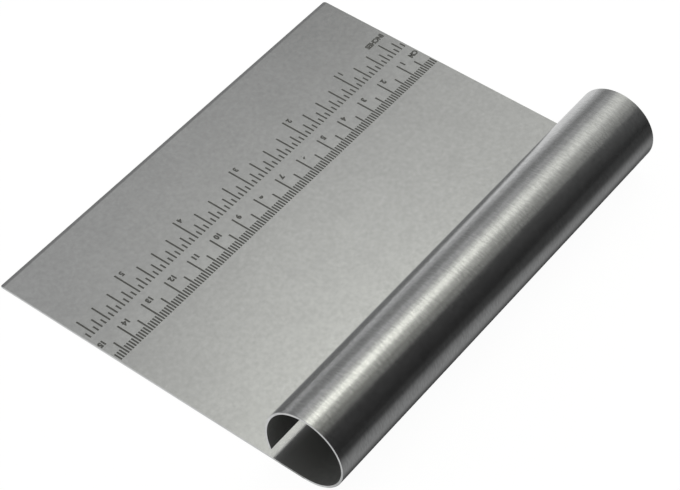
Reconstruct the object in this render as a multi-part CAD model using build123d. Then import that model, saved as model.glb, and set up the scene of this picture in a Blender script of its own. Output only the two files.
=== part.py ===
from build123d import *
import math
import os

# Bench scraper: a flat steel blade whose back edge is rolled up into a tubular handle.
# +X runs along the handle, +Y points to the cutting edge, +Z is up.
# The origin is in the middle of the object, on the underside of the blade.

# Sheet and overall size, millimetres
sheet_width = 148.5
sheet_thickness = 0.7
overall_depth = 120.0

# Handle: a round roll that ends in a straight lip, which stops short of the blade
roll_diameter = 25.0
lip_lean_angle = 6.0
lip_slot_height = 3.0

# Cutting edge: bevel ground on the upper side, blunt land left under it, eased corners
bevel_width = 0.6
edge_land_height = 0.35
blade_corner_radius = 0.6

# How far the grinding cut runs on past the steel
cut_overrun = 2.0

# Places that follow from the sizes
back_y = -overall_depth / 2
cutting_edge_y = overall_depth / 2
roll_radius = roll_diameter / 2
bore_radius = roll_radius - sheet_thickness
roll_centre_y = back_y + roll_radius
roll_centre_z = roll_radius
bend_line_y = roll_centre_y

# Angles of the roll, seen from the +X end: it leaves the blade at its lowest point,
# climbs the back, passes over the top and comes down on the blade's side
lowest_point_angle = 270.0
roll_sweep_angle = lowest_point_angle + lip_lean_angle


def blade():
    """Flat plate from the bend line to the ground cutting edge."""
    blade_depth = cutting_edge_y - bend_line_y
    middle_y = (cutting_edge_y + bend_line_y) / 2
    plate = extrude(Rectangle(sheet_width, blade_depth), amount=sheet_thickness)
    plate = Pos(0, middle_y, 0) * plate
    front_corners = plate.edges().filter_by(Axis.Z).sort_by(Axis.Y)[-2:]
    plate = fillet(front_corners, blade_corner_radius)

    # The bevel runs from the top of the land up to the blade's upper face
    bevel_outline = Polyline(
        (cutting_edge_y, edge_land_height),
        (cutting_edge_y + cut_overrun, edge_land_height),
        (cutting_edge_y + cut_overrun, sheet_thickness + cut_overrun),
        (cutting_edge_y - bevel_width, sheet_thickness + cut_overrun),
        (cutting_edge_y - bevel_width, sheet_thickness),
        close=True,
    )
    bevel_section = Plane.YZ * make_face(bevel_outline)
    bevel_cut = extrude(bevel_section, amount=sheet_width / 2 + cut_overrun, both=True)
    return plate - bevel_cut


def rolled_handle():
    """Sheet rolled round the bore, with a straight lip tangent to the end of the roll."""
    centre = (roll_centre_y, roll_centre_z)
    outer_arc = CenterArc(centre, roll_radius, lowest_point_angle, -roll_sweep_angle)
    inner_arc = CenterArc(centre, bore_radius, lowest_point_angle, -roll_sweep_angle)

    # The lip drops until its outer corner is the slot's height above the blade
    lean = math.radians(lip_lean_angle)
    lip_drop = roll_centre_z - roll_radius * math.sin(lean) - sheet_thickness - lip_slot_height
    lip = Vector(-math.sin(lean), -math.cos(lean)) * (lip_drop / math.cos(lean))
    lip_outline = Polyline(outer_arc @ 1, (outer_arc @ 1) + lip, (inner_arc @ 1) + lip, inner_arc @ 1)
    bend_line = Line(inner_arc @ 0, outer_arc @ 0)
    section = Plane.YZ * make_face([outer_arc, lip_outline, inner_arc, bend_line])
    return extrude(section, amount=sheet_width / 2, both=True)


os.makedirs("parts", exist_ok=True)
export_step(blade(), "parts/blade.step")
export_step(rolled_handle(), "parts/rolled_handle.step")
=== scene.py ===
"""Looks of a stainless steel bench scraper: satin blade, rolled handle and etched scales."""

import math

import bmesh
import bpy
from mathutils import Matrix, Vector


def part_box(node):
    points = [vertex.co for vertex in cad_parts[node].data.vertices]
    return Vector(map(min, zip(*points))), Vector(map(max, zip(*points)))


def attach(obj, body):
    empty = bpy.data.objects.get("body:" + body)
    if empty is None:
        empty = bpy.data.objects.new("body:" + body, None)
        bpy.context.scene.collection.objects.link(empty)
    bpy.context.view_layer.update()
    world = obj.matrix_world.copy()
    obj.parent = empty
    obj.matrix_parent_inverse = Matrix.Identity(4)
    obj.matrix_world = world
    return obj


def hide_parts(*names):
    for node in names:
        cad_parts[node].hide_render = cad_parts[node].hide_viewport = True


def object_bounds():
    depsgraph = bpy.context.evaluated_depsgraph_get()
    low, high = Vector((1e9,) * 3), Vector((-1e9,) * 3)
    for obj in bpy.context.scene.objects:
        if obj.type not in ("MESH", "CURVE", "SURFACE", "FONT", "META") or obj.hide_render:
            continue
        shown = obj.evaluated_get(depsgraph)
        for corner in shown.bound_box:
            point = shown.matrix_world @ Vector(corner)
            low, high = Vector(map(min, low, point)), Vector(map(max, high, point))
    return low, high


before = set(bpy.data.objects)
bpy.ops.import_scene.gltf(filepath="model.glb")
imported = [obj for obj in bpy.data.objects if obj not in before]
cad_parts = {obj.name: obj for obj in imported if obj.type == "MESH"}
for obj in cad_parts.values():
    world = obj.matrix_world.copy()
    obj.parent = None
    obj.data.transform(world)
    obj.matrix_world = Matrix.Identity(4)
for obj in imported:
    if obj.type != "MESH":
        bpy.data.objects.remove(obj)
cad_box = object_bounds()

MM = 0.001
INCH = 25.4 * MM

# Sizes that the frame gives
blade_low, blade_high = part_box("blade")
handle_low, handle_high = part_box("rolled_handle")
sheet_thickness = blade_high.z - blade_low.z
bend_line_y = blade_low.y
cutting_edge_y = blade_high.y
back_y = handle_low.y
far_edge_x = blade_high.x
near_edge_x = blade_low.x
roll_radius = (handle_high.z - handle_low.z) / 2
roll_centre = Vector((0, back_y + roll_radius, handle_low.z + roll_radius))

# The roll is round over the back and top, and relaxes to a wider curve at its lip
roll_start_angle = math.radians(270)
lip_start_angle = math.radians(30)
lip_radius = 16.5 * MM
lip_slot_height = 3.0 * MM
roll_step_angle = math.radians(1)

# Cutting edge, ground on the upper side down to a blunt land
bevel_width = 1.2 * MM
edge_land_height = 0.35 * MM
bevel_crease_angle = math.radians(12)

# The handle's edges are deburred
deburred_radius = 0.08 * MM
deburr_steps = 2
sheet_corner_angle = math.radians(40)

# Points nearer than this are one
merge_distance = 0.001 * MM

# Etched scales. Both start at the far edge, and their lines hang from a common line
# towards the cutting edge
mark_height = 0.012 * MM
mark_sunk = 0.05 * MM
mark_width = 0.56 * MM

centimetre_zero_x = 74.57 * MM
centimetre_line_y = 15.85 * MM
centimetre_baseline_y = 24.65 * MM
centimetre_spacing = 1 * MM
centimetre_long = 8.65 * MM
half_centimetre_long = 5.65 * MM
millimetre_long = 2.75 * MM

inch_zero_x = 74.85 * MM
inch_line_y = 27.6 * MM
inch_baseline_y = 36.95 * MM
inch_spacing = INCH / 16
inch_long = 9.5 * MM
quarter_inch_long = 6.8 * MM
eighth_inch_long = 4.15 * MM
sixteenth_inch_long = 2.1 * MM

# Numerals and unit marks. Each numeral stands on the zero's side of its line, a gap away.
# A capital's height is a share of the letters' size
capital_height_share = 0.73
centimetre_numeral_height = 2.05 * MM
centimetre_numeral_boldness = 0.16 * MM
centimetre_numeral_gap = 1.3 * MM
last_centimetre = 15
inch_numeral_height = 2.0 * MM
inch_numeral_boldness = 0.13 * MM
inch_numeral_gap = 1.1 * MM
last_inch = 5
unit_height = 1.95 * MM
unit_boldness = 0.13 * MM
centimetre_unit_place = (70.2 * MM, 24.6 * MM)
inch_unit_place = (65.1 * MM, 37.3 * MM)
numeral_merge_distance = 0.0001 * MM

# Patterns of the steel, each with its length along X and then across it. Real scratches
# are about 0.02 mm across, too fine to show, so they are drawn about ten times as coarse
satin_scratches = (0.4 * MM, 0.2 * MM)
satin_spots = (1.3 * MM, 1.3 * MM)
brushed_scratches = (6 * MM, 0.3 * MM)
brushed_streaks = (0.5 * MM, 2.0 * MM)
clouds = (12 * MM, 12 * MM)
scratch_depth = 0.02 * MM
scratch_strength = 0.15
roughness_swing = 0.15
spot_share = 0.7
cloud_share = 0.3
darkest_noise = 0.3
lightest_noise = 0.7

# Steel colours. Inside the roll, from here back, the sheet is duller, and its darker colour there is painted
# shade
steel_colour = "c9caca"
painted_roll_shade_colour = "a8a9a7"
unpolished_roughness = 0.6
dull_and_shade_y = -38.5 * MM
dull_and_shade_fade = 1.5 * MM

# Paper floor. The camera sees it nearly white, with some of its own shade left in
floor_half_width = 1.5
floor_gap = 0.02 * MM
floor_colour = "e9e9e7"
floor_white_share = 0.85
floor_white_strength = 1.12

# Colours of light
warm_white = "fffff0"
soft_white = "fffff8"
pure_white = "ffffff"

# Settings that many nodes share
smooth = {"interpolation_type": "SMOOTHSTEP"}
product = {"operation": "MULTIPLY"}
product_and_sum = {"operation": "MULTIPLY_ADD"}
larger = {"operation": "MAXIMUM"}


def linear(hex_colour):
    """Linear RGBA of an sRGB hex colour."""
    channels = [int(hex_colour[i:i + 2], 16) / 255 for i in (0, 2, 4)]
    return [c / 12.92 if c <= 0.04045 else ((c + 0.055) / 1.055) ** 2.4 for c in channels] + [1]


def add_node(tree, kind, settings=None, **links):
    """Adds a node. Settings are its own properties. Links are input values, or the sockets that
    feed them, by the input's name or by an underscore and its number."""
    node = tree.nodes.new(kind)
    for name, value in (settings or {}).items():
        setattr(node, name, value)
    for name, value in links.items():
        key = int(name[1:]) if name[0] == "_" and name[1:].isdigit() else name.replace("_", " ")
        if isinstance(value, bpy.types.NodeSocket):
            tree.links.new(value, node.inputs[key])
        else:
            node.inputs[key].default_value = value
    return node


def new_material(name):
    """An empty node material and its tree."""
    material = bpy.data.materials.new(name)
    material.use_nodes = True
    material.node_tree.nodes.clear()
    return material, material.node_tree


def new_piece(name, data):
    """An object at the origin that shows a mesh or a curve."""
    piece = bpy.data.objects.new(name, data)
    bpy.context.scene.collection.objects.link(piece)
    return piece


def finish_piece(piece):
    """Makes the result of a piece's modifiers its own mesh."""
    bpy.context.view_layer.update()
    depsgraph = bpy.context.evaluated_depsgraph_get()
    finished = bpy.data.meshes.new_from_object(piece.evaluated_get(depsgraph))
    piece.modifiers.clear()
    piece.data = finished
    finished.name = piece.name
    return piece


def make_camera():
    """The photograph's viewpoint, aimed at a point on the plane that the blade lies on."""
    aim = Vector((-3.67 * MM, -5.57 * MM, 0))
    distance = 642.5 * MM
    azimuth = math.radians(-53.484)
    elevation = math.radians(48.505)
    roll = math.radians(0.912)
    lens = bpy.data.cameras.new("camera")
    lens.sensor_width = 36
    lens.lens = 119.49
    lens.clip_start = 10 * MM
    camera = bpy.data.objects.new("camera", lens)
    bpy.context.scene.collection.objects.link(camera)
    turn = (
        Matrix.Rotation(azimuth, 4, "Z")
        @ Matrix.Rotation(math.pi / 2 - elevation, 4, "X")
        @ Matrix.Rotation(roll, 4, "Z")
    )
    camera.matrix_world = Matrix.Translation(aim) @ turn @ Matrix.Translation((0, 0, distance))
    bpy.context.scene.camera = camera


def steel(name, roughness, scratches, patches, mottle, colour=steel_colour, stretch=0.0, dull_and_shaded_in_roll=False):
    """Stainless sheet with scratches and with patches of tone, whose strength is mottle. Stretch
    draws its reflections out across the scratches. Where it enters the roll it can go dull, and darker by
    painted shade."""
    material, tree = new_material(name)
    place = add_node(tree, "ShaderNodeTexCoord").outputs["Object"]

    def pattern(lengths, detail):
        along, across = lengths
        sized = add_node(tree, "ShaderNodeMapping", Vector=place, Scale=(1 / along, 1 / across, 1 / across))
        return add_node(
            tree, "ShaderNodeTexNoise", Vector=sized.outputs["Vector"], Scale=1.0, Detail=detail
        ).outputs["Fac"]

    relief = pattern(scratches, 3.0)
    finish = add_node(
        tree, "ShaderNodeMapRange", Value=relief,
        To_Min=roughness * (1 - roughness_swing), To_Max=roughness * (1 + roughness_swing),
    ).outputs["Result"]
    bump = add_node(
        tree, "ShaderNodeBump", Height=relief, Strength=scratch_strength, Distance=scratch_depth,
    )
    fine_tone = add_node(tree, "ShaderNodeMath", product, _0=pattern(patches, 1.0), _1=spot_share)
    whole_tone = add_node(
        tree, "ShaderNodeMath", product_and_sum,
        _0=pattern(clouds, 1.0), _1=cloud_share, _2=fine_tone.outputs[0],
    )
    tone = add_node(
        tree, "ShaderNodeMapRange", Value=whole_tone.outputs[0],
        From_Min=darkest_noise, From_Max=lightest_noise,
    )
    darker, lighter = [
        [channel * strength for channel in linear(colour)[:3]] + [1]
        for strength in (1 - mottle, 1 + mottle)
    ]
    tint = add_node(
        tree, "ShaderNodeMix", {"data_type": "RGBA"}, _0=tone.outputs[0], _6=darker, _7=lighter,
    ).outputs[2]
    # Inside the roll the sheet goes dull, and its colour darkens there as painted shade
    if dull_and_shaded_in_roll:
        depth = add_node(tree, "ShaderNodeSeparateXYZ", Vector=place)
        polished_unshaded = add_node(
            tree, "ShaderNodeMapRange", Value=depth.outputs["Y"],
            From_Min=dull_and_shade_y - dull_and_shade_fade, From_Max=dull_and_shade_y + dull_and_shade_fade,
        ).outputs["Result"]
        finish = add_node(
            tree, "ShaderNodeMapRange", Value=polished_unshaded, To_Min=unpolished_roughness, To_Max=finish,
        ).outputs["Result"]
        tint = add_node(
            tree, "ShaderNodeMix", {"data_type": "RGBA"},
            _0=polished_unshaded, _6=linear(painted_roll_shade_colour), _7=tint,
        ).outputs[2]
    along_x = add_node(tree, "ShaderNodeCombineXYZ", X=1.0)
    shader = add_node(
        tree, "ShaderNodeBsdfPrincipled", Base_Color=tint, Metallic=1.0, Roughness=finish,
        Anisotropic=stretch, Tangent=along_x.outputs["Vector"], Normal=bump.outputs["Normal"],
    )
    add_node(tree, "ShaderNodeOutputMaterial", Surface=shader.outputs["BSDF"])
    return material


def etched_black():
    """Marks etched into the sheet: dark grey and matt, so they never shine as the steel does."""
    material, tree = new_material("etched_black")
    shader = add_node(
        tree, "ShaderNodeBsdfPrincipled", Base_Color=linear("6c6c68"), Metallic=0.0, Roughness=0.6,
    )
    add_node(tree, "ShaderNodeOutputMaterial", Surface=shader.outputs["BSDF"])
    return material


def ground_blade(material):
    """The blade with its bevel ground back over the whole width that shows as a darker line."""
    mesh = bmesh.new()
    mesh.from_mesh(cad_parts["blade"].data)
    bmesh.ops.remove_doubles(mesh, verts=mesh.verts, dist=merge_distance)
    land_top = Vector((0, cutting_edge_y, blade_low.z + edge_land_height))
    slope = Vector((0, sheet_thickness - edge_land_height, bevel_width)).normalized()
    cut = bmesh.ops.bisect_plane(
        mesh, geom=[*mesh.verts, *mesh.edges, *mesh.faces], dist=merge_distance,
        plane_co=land_top, plane_no=slope, clear_outer=True,
    )
    rim = [edge for edge in cut["geom_cut"] if isinstance(edge, bmesh.types.BMEdge)]
    bmesh.ops.holes_fill(mesh, edges=rim, sides=0)
    for edge in mesh.edges:
        edge.smooth = edge.calc_face_angle(0) < bevel_crease_angle
    for face in mesh.faces:
        face.smooth = True
    data = bpy.data.meshes.new("ground_blade")
    mesh.to_mesh(data)
    mesh.free()
    data.materials.append(material)
    return new_piece("ground_blade", data)


def section_direction(angle):
    """Unit vector in the handle's section. Angle 0 points to the cutting edge, 90 degrees points up."""
    return Vector((0, math.cos(angle), math.sin(angle)))


def sheet_stations():
    """Places along the rolled sheet's section, each as a point on its outer and on its inner side."""
    lip_centre = roll_centre + (roll_radius - lip_radius) * section_direction(lip_start_angle)
    lip_end_z = blade_high.z + lip_slot_height
    lip_end_angle = math.asin((lip_end_z - lip_centre.z) / lip_radius)
    stations = []
    for centre, radius, first, last in (
        (roll_centre, roll_radius, roll_start_angle, lip_start_angle),
        (lip_centre, lip_radius, lip_start_angle, lip_end_angle),
    ):
        steps = round((first - last) / roll_step_angle)
        first_step = 1 if stations else 0
        for i in range(first_step, steps + 1):
            out = section_direction(first + (last - first) * i / steps)
            stations.append((centre + out * radius, centre + out * (radius - sheet_thickness)))
    return stations


def handle_mesh():
    """The rolled sheet: round from the bend line over the top, then a wider curve down to the lip.
    Its outer wall has the first material and its inner wall the second."""
    stations = sheet_stations()
    mesh = bmesh.new()
    weight = mesh.edges.layers.float.new("bevel_weight_edge")
    near, far = [
        [[mesh.verts.new((x, point.y, point.z)) for point in pair] for pair in stations]
        for x in (near_edge_x, far_edge_x)
    ]
    last = len(stations) - 1
    for i in range(last):
        for side in (0, 1):
            wall = mesh.faces.new((near[i][side], near[i + 1][side], far[i + 1][side], far[i][side]))
            wall.material_index = side
        for end in (near, far):
            mesh.faces.new((end[i][0], end[i][1], end[i + 1][1], end[i + 1][0]))
    for i in (0, last):
        mesh.faces.new((near[i][0], near[i][1], far[i][1], far[i][0]))
    bmesh.ops.recalc_face_normals(mesh, faces=mesh.faces)
    for edge in mesh.edges:
        if edge.calc_face_angle(0) > sheet_corner_angle:
            middle = (edge.verts[0].co + edge.verts[1].co) / 2
            low = middle.z < sheet_thickness + merge_distance
            if low and abs(middle.y - bend_line_y) < merge_distance:
                edge.smooth = False
            else:
                edge[weight] = 1.0
    return mesh


def deburred(name, mesh, materials):
    """Turns a bmesh into a piece whose weighted edges are rounded as a deburred sheet's are."""
    data = bpy.data.meshes.new(name)
    mesh.to_mesh(data)
    mesh.free()
    for material in materials:
        data.materials.append(material)
    for polygon in data.polygons:
        polygon.use_smooth = True
    piece = new_piece(name, data)
    rounding = piece.modifiers.new("deburr", "BEVEL")
    rounding.limit_method = "WEIGHT"
    rounding.width = deburred_radius
    rounding.segments = deburr_steps
    rounding.harden_normals = True
    return finish_piece(piece)


def scale_tree():
    """Lines of a ruler: every line hangs from one edge, and its rank sets its length."""
    tree = bpy.data.node_groups.new("ruler_lines", "GeometryNodeTree")
    sockets = {}
    tree.interface.new_socket("Geometry", in_out="OUTPUT", socket_type="NodeSocketGeometry")
    lengths = ("Spacing", "First X", "Line Y", "Surface Z", "Width", "Height", "Sunk",
               "Long", "Middle", "Short", "Shortest")
    counts = ("Count", "Long Every", "Middle Every", "Short Every")
    for names, kind, default in ((lengths, "NodeSocketFloat", MM), (counts, "NodeSocketInt", 1)):
        for name in names:
            made = tree.interface.new_socket(name, in_out="INPUT", socket_type=kind)
            made.default_value = default
            sockets[name] = made.identifier
    made = tree.interface.new_socket("Material", in_out="INPUT", socket_type="NodeSocketMaterial")
    sockets["Material"] = made.identifier
    given = add_node(tree, "NodeGroupInput").outputs

    # One point for each line, from the far edge to the near one
    start = add_node(
        tree, "ShaderNodeCombineXYZ", X=given["First X"], Y=given["Line Y"], Z=given["Surface Z"],
    )
    back = add_node(tree, "ShaderNodeMath", product, _0=given["Spacing"], _1=-1.0)
    step = add_node(tree, "ShaderNodeCombineXYZ", X=back.outputs[0])
    places = add_node(
        tree, "GeometryNodeMeshLine", {"mode": "OFFSET"},
        Count=given["Count"], Start_Location=start.outputs[0], Offset=step.outputs[0],
    )

    # A line's rank, counted from the scale's zero, picks the longest length that it divides by
    index = add_node(tree, "GeometryNodeInputIndex")
    rank = add_node(tree, "ShaderNodeMath", {"operation": "ADD"}, _0=index.outputs[0], _1=1.0)
    length = given["Shortest"]
    for every, longer in (("Short Every", "Short"), ("Middle Every", "Middle"), ("Long Every", "Long")):
        rest = add_node(
            tree, "ShaderNodeMath", {"operation": "MODULO"}, _0=rank.outputs[0], _1=given[every],
        )
        divides = add_node(
            tree, "ShaderNodeMath", {"operation": "LESS_THAN"}, _0=rest.outputs[0], _1=0.5,
        )
        choice = add_node(
            tree, "GeometryNodeSwitch", {"input_type": "FLOAT"},
            _0=divides.outputs[0], _1=length, _2=given[longer],
        )
        length = choice.outputs[0]

    # A unit bar that stands on the surface and hangs from the line is scaled to each length
    thick = add_node(tree, "ShaderNodeMath", {"operation": "ADD"}, _0=given["Height"], _1=given["Sunk"])
    size = add_node(tree, "ShaderNodeCombineXYZ", X=given["Width"], Y=length, Z=thick.outputs[0])
    bar = add_node(tree, "GeometryNodeMeshCube", Size=(1, 1, 1))
    hung = add_node(
        tree, "GeometryNodeTransform", Geometry=bar.outputs["Mesh"], Translation=(0, 0.5, 0.5),
    )
    placed = add_node(
        tree, "GeometryNodeInstanceOnPoints", Points=places.outputs["Mesh"],
        Instance=hung.outputs["Geometry"], Scale=size.outputs[0],
    )
    lowered = add_node(tree, "ShaderNodeMath", product, _0=given["Sunk"], _1=-1.0)
    drop = add_node(tree, "ShaderNodeCombineXYZ", Z=lowered.outputs[0])
    sunk = add_node(
        tree, "GeometryNodeTransform", Geometry=placed.outputs["Instances"],
        Translation=drop.outputs[0],
    )
    real = add_node(tree, "GeometryNodeRealizeInstances", Geometry=sunk.outputs["Geometry"])
    dressed = add_node(
        tree, "GeometryNodeSetMaterial", Geometry=real.outputs["Geometry"], Material=given["Material"],
    )
    add_node(tree, "NodeGroupOutput", Geometry=dressed.outputs["Geometry"])
    return tree, sockets


def ruler_lines(name, tree, sockets, material, values):
    """One scale's lines as a piece, made by the tree from the given sizes and counts."""
    piece = new_piece(name, bpy.data.meshes.new(name))
    modifier = piece.modifiers.new("lines", "NODES")
    modifier.node_group = tree
    for key, value in values.items():
        modifier[sockets[key]] = value
    modifier[sockets["Material"]] = material
    return finish_piece(piece)


def lettering(words, height, boldness, material, name):
    """Etched characters that read from the far edge, tops to the handle. Each word ends at its x."""
    joined = bmesh.new()
    middle_z = blade_high.z + (mark_height - mark_sunk) / 2
    for word, x, y in words:
        curve = bpy.data.curves.new(name, "FONT")
        curve.body = word
        curve.size = (height - 2 * boldness) / capital_height_share
        curve.offset = boldness
        curve.extrude = (mark_height + mark_sunk) / 2
        curve.align_x = "RIGHT"
        text = new_piece(name, curve)
        bpy.context.view_layer.update()
        depsgraph = bpy.context.evaluated_depsgraph_get()
        mesh = bpy.data.meshes.new_from_object(text.evaluated_get(depsgraph))
        place = Matrix.Translation((x + boldness, y - boldness, middle_z))
        mesh.transform(place @ Matrix.Rotation(math.pi, 4, "Z"))
        joined.from_mesh(mesh)
        bpy.data.objects.remove(text)
        bpy.data.curves.remove(curve)
        bpy.data.meshes.remove(mesh)
    bmesh.ops.remove_doubles(joined, verts=joined.verts, dist=numeral_merge_distance)
    data = bpy.data.meshes.new(name)
    joined.to_mesh(data)
    joined.free()
    data.materials.append(material)
    return new_piece(name, data)


def floor_in_steel(tree):
    """Painted light and shade of the floor as the steel mirrors it: white beside the scraper, dim behind it.
    """
    white = 0.85
    painted_shade_behind = 0.31
    painted_shadow_under = 0.2
    dimmest_mid, dimmest_far = 0.03, 0.055
    mid_x, far_x = 10 * MM, 45 * MM
    place = add_node(
        tree, "ShaderNodeSeparateXYZ", Vector=add_node(tree, "ShaderNodeTexCoord").outputs["Object"],
    )
    aside = add_node(tree, "ShaderNodeMath", {"operation": "ABSOLUTE"}, _0=place.outputs["X"])
    beside = add_node(
        tree, "ShaderNodeMapRange", smooth, Value=aside.outputs[0],
        From_Min=far_edge_x - 0.4 * MM, From_Max=far_edge_x, To_Min=0.0, To_Max=white,
    )
    before = add_node(
        tree, "ShaderNodeMapRange", smooth, Value=place.outputs["Y"],
        From_Min=back_y - 2 * MM, From_Max=back_y + 8 * MM, To_Min=0.0, To_Max=1.0,
    )
    lit = add_node(tree, "ShaderNodeMath", product, _0=beside.outputs[0], _1=before.outputs[0])

    # Painted shade behind the handle: the floor fades with distance, sooner but less at its far end
    fade_end = add_node(
        tree, "ShaderNodeMapRange", Value=place.outputs["X"], From_Min=mid_x, From_Max=far_x,
        To_Min=back_y - 75 * MM, To_Max=back_y - 35 * MM,
    )
    dimmest = add_node(
        tree, "ShaderNodeMapRange", Value=place.outputs["X"], From_Min=mid_x, From_Max=far_x,
        To_Min=dimmest_mid, To_Max=dimmest_far,
    )
    behind = add_node(
        tree, "ShaderNodeMapRange", smooth, Value=place.outputs["Y"],
        From_Min=fade_end.outputs[0], From_Max=back_y - 6 * MM,
        To_Min=dimmest.outputs[0], To_Max=painted_shade_behind,
    )
    # Painted shadow on the floor under the handle
    shade = add_node(
        tree, "ShaderNodeMapRange", smooth, Value=place.outputs["Y"],
        From_Min=back_y - 8 * MM, From_Max=back_y + 1 * MM, To_Min=1.0, To_Max=painted_shadow_under,
    )
    dim = add_node(tree, "ShaderNodeMath", product, _0=behind.outputs[0], _1=shade.outputs[0])
    return add_node(tree, "ShaderNodeMath", larger, _0=lit.outputs[0], _1=dim.outputs[0]).outputs[0]


def make_floor():
    """Matt studio paper, pale and without gloss, that keeps a soft shadow of the scraper. In the steel it
    shows painted light and shade.
    """
    material, tree = new_material("studio_paper")
    path = add_node(tree, "ShaderNodeLightPath")
    glow = add_node(
        tree, "ShaderNodeMapRange", Value=path.outputs["Is Glossy Ray"],
        To_Min=floor_white_strength, To_Max=floor_in_steel(tree),
    )
    seen = add_node(
        tree, "ShaderNodeMath", larger,
        _0=path.outputs["Is Camera Ray"], _1=path.outputs["Is Transmission Ray"],
    )
    shown = add_node(tree, "ShaderNodeMath", product, _0=seen.outputs[0], _1=floor_white_share)
    share = add_node(
        tree, "ShaderNodeMath", larger, _0=shown.outputs[0], _1=path.outputs["Is Glossy Ray"],
    )
    paper = add_node(tree, "ShaderNodeBsdfDiffuse", Color=linear(floor_colour))
    white = add_node(tree, "ShaderNodeEmission", Color=linear(pure_white), Strength=glow.outputs[0])
    mixed = add_node(
        tree, "ShaderNodeMixShader", Fac=share.outputs[0], _1=paper.outputs[0], _2=white.outputs[0],
    )
    add_node(tree, "ShaderNodeOutputMaterial", Surface=mixed.outputs[0])
    half = floor_half_width
    z = cad_box[0].z - floor_gap
    mesh = bpy.data.meshes.new("floor")
    corners = [(-half, -half, z), (half, -half, z), (half, half, z), (-half, half, z)]
    mesh.from_pydata(corners, [], [(0, 1, 2, 3)])
    mesh.materials.append(material)
    floor = new_piece("floor", mesh)


def make_world():
    """A studio that is white to the camera. In the steel it is a soft dome, brighter high up, with a
    dark stretch that gives the roll its dark band."""
    brightness_low, brightness_high = 0.18, 0.42
    before_share = 0.6
    near_end_share = 0.35
    darkest = 0.012
    world = bpy.data.worlds.new("studio")
    bpy.context.scene.world = world
    world.use_nodes = True
    tree = world.node_tree
    background = tree.nodes["Background"]
    background.inputs["Color"].default_value = linear(pure_white)
    way = add_node(
        tree, "ShaderNodeSeparateXYZ", Vector=add_node(tree, "ShaderNodeTexCoord").outputs["Generated"],
    )
    aside = add_node(
        tree, "ShaderNodeMapRange", smooth, Value=way.outputs["X"],
        From_Min=0.11, From_Max=0.33, To_Min=1.0, To_Max=0.0,
    )
    beyond = add_node(
        tree, "ShaderNodeMapRange", smooth, Value=way.outputs["X"],
        From_Min=0.655, From_Max=0.79, To_Min=0.0, To_Max=1.0,
    )
    before = add_node(
        tree, "ShaderNodeMapRange", smooth, Value=way.outputs["Y"],
        From_Min=0.42, From_Max=0.68, To_Min=0.0, To_Max=before_share,
    )
    near_end = add_node(
        tree, "ShaderNodeMapRange", smooth, Value=way.outputs["X"],
        From_Min=-0.95, From_Max=-0.75, To_Min=near_end_share, To_Max=1.0,
    )
    above = add_node(
        tree, "ShaderNodeMapRange", smooth, Value=way.outputs["Z"],
        From_Min=0.0, From_Max=0.4, To_Min=brightness_low, To_Max=brightness_high,
    )
    ends = add_node(tree, "ShaderNodeMath", larger, _0=aside.outputs[0], _1=beyond.outputs[0])
    open_sides = add_node(tree, "ShaderNodeMath", larger, _0=ends.outputs[0], _1=before.outputs[0])
    soft = add_node(tree, "ShaderNodeMath", product, _0=open_sides.outputs[0], _1=near_end.outputs[0])
    dome = add_node(
        tree, "ShaderNodeMath", product_and_sum, _0=soft.outputs[0], _1=above.outputs[0], _2=darkest,
    )
    path = add_node(tree, "ShaderNodeLightPath")
    seen = add_node(
        tree, "ShaderNodeMapRange", Value=path.outputs["Is Camera Ray"], To_Min=dome.outputs[0],
    )
    tree.links.new(seen.outputs[0], background.inputs["Strength"])


def lamp(name, place, width, height, power, colour=pure_white):
    """A soft box that faces the object. Its width runs along X, as far as facing the object lets it."""
    light = bpy.data.lights.new(name, "AREA")
    light.color = linear(colour)[:3]
    light.shape = "RECTANGLE"
    light.size = width
    light.size_y = height
    light.energy = power
    place = Vector(place)
    out = place.normalized()
    across = (Vector((1, 0, 0)) - out * out.x).normalized()
    box = bpy.data.objects.new(name, light)
    bpy.context.scene.collection.objects.link(box)
    turn = Matrix((across, out.cross(across), out)).transposed()
    box.matrix_world = Matrix.Translation(place) @ turn.to_4x4()


def make_lamps():
    """Soft boxes in metres and watts, each beyond the object from the camera, where steel mirrors it."""
    # The bright line along the roll, and the softer light round it
    lamp("key", (0.36, 0.143, 0.812), 0.12, 0.253, 0.13, warm_white)
    lamp("key_beside", (0.48, 0.132, 0.75), 0.12, 0.253, 0.053, warm_white)
    lamp("key_edge", (0.6, 0.116, 0.661), 0.12, 0.253, 0.016, warm_white)
    lamp("key_surround", (0.36, 0.058, 0.823), 0.36, 0.878, 0.137, warm_white)
    lamp("crown", (0.48, -0.369, 0.666), 0.36, 0.157, 0.041, soft_white)

    # The blade's even grey, from high up
    lamp("high", (0.3, 0.5, 1.0), 0.9, 0.9, 0.327)
    lamp("high_corner", (0.6, 0.4, 0.95), 0.9, 0.9, 0.573)
    lamp("high_far", (0.8, 0.1, 0.9), 0.9, 0.9, 0.93, soft_white)

    # Low light from the far side
    lamp("low_corner", (0.95, 0.9, 0.14), 1.2, 0.25, 0.32)
    lamp("far", (1.2, 0, 0.45), 0.8, 1.4, 0.61)


bpy.context.scene.view_settings.view_transform = "Standard"
make_camera()
make_floor()
make_world()
make_lamps()

# Cold-rolled stainless sheet with a satin finish: an even grey that mirrors blurred light.
# It goes dull where it enters the roll, and darker there by painted shade
blade_steel = steel(
    "satin_stainless", roughness=0.22, scratches=satin_scratches, patches=satin_spots,
    mottle=0.065, dull_and_shaded_in_roll=True,
)

# The same sheet brushed and bent round: bands of light along the handle, broken by faint
# streaks round it
handle_steel = steel(
    "rolled_stainless", roughness=0.25, scratches=brushed_scratches, patches=brushed_streaks,
    mottle=0.12, stretch=0.25,
)
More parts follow.
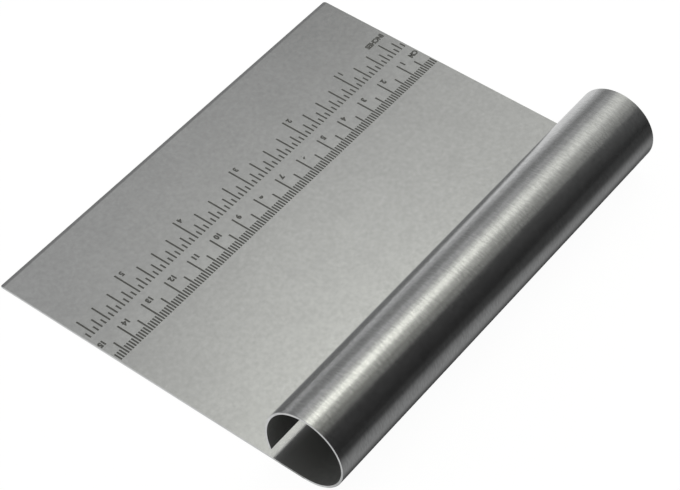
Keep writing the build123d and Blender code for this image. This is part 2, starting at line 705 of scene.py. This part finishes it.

# The same sheet inside the roll: dull, and darker by painted shade
inner_steel = steel(
    "dull_shaded_stainless", roughness=unpolished_roughness, scratches=satin_scratches,
    patches=satin_spots, mottle=0.065, colour=painted_roll_shade_colour,
)
marks = etched_black()

blade = ground_blade(blade_steel)
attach(blade, "root")
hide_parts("blade")

handle = deburred("handle_roll", handle_mesh(), (handle_steel, inner_steel))
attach(handle, "root")
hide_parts("rolled_handle")

tree, sockets = scale_tree()
on_blade = {"Surface Z": blade_high.z, "Width": mark_width, "Height": mark_height, "Sunk": mark_sunk}
cm_lines = ruler_lines("centimetre_lines", tree, sockets, marks, {
    **on_blade,
    "Spacing": centimetre_spacing,
    "First X": centimetre_zero_x - centimetre_spacing,
    "Line Y": centimetre_line_y,
    "Count": math.floor((centimetre_zero_x - near_edge_x) / centimetre_spacing),
    "Long Every": 10, "Middle Every": 5, "Short Every": 1,
    "Long": centimetre_long, "Middle": half_centimetre_long,
    "Short": millimetre_long, "Shortest": millimetre_long,
})
inch_lines = ruler_lines("inch_lines", tree, sockets, marks, {
    **on_blade,
    "Spacing": inch_spacing,
    "First X": inch_zero_x - inch_spacing,
    "Line Y": inch_line_y,
    "Count": math.floor((inch_zero_x - near_edge_x) / inch_spacing),
    "Long Every": 16, "Middle Every": 4, "Short Every": 2,
    "Long": inch_long, "Middle": quarter_inch_long,
    "Short": eighth_inch_long, "Shortest": sixteenth_inch_long,
})
cm_numbers = lettering(
    [(str(k), centimetre_zero_x - k * 10 * MM + centimetre_numeral_gap, centimetre_baseline_y)
     for k in range(1, last_centimetre + 1)],
    centimetre_numeral_height, centimetre_numeral_boldness, marks, "centimetre_numbers")
inch_numbers = lettering(
    [(str(k), inch_zero_x - k * INCH + inch_numeral_gap, inch_baseline_y)
     for k in range(1, last_inch + 1)],
    inch_numeral_height, inch_numeral_boldness, marks, "inch_numbers")
unit_marks = lettering(
    [("CM", *centimetre_unit_place), ("INCHES", *inch_unit_place)],
    unit_height, unit_boldness, marks, "unit_marks")
for piece in (cm_lines, inch_lines, cm_numbers, inch_numbers, unit_marks):
    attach(piece, "root")
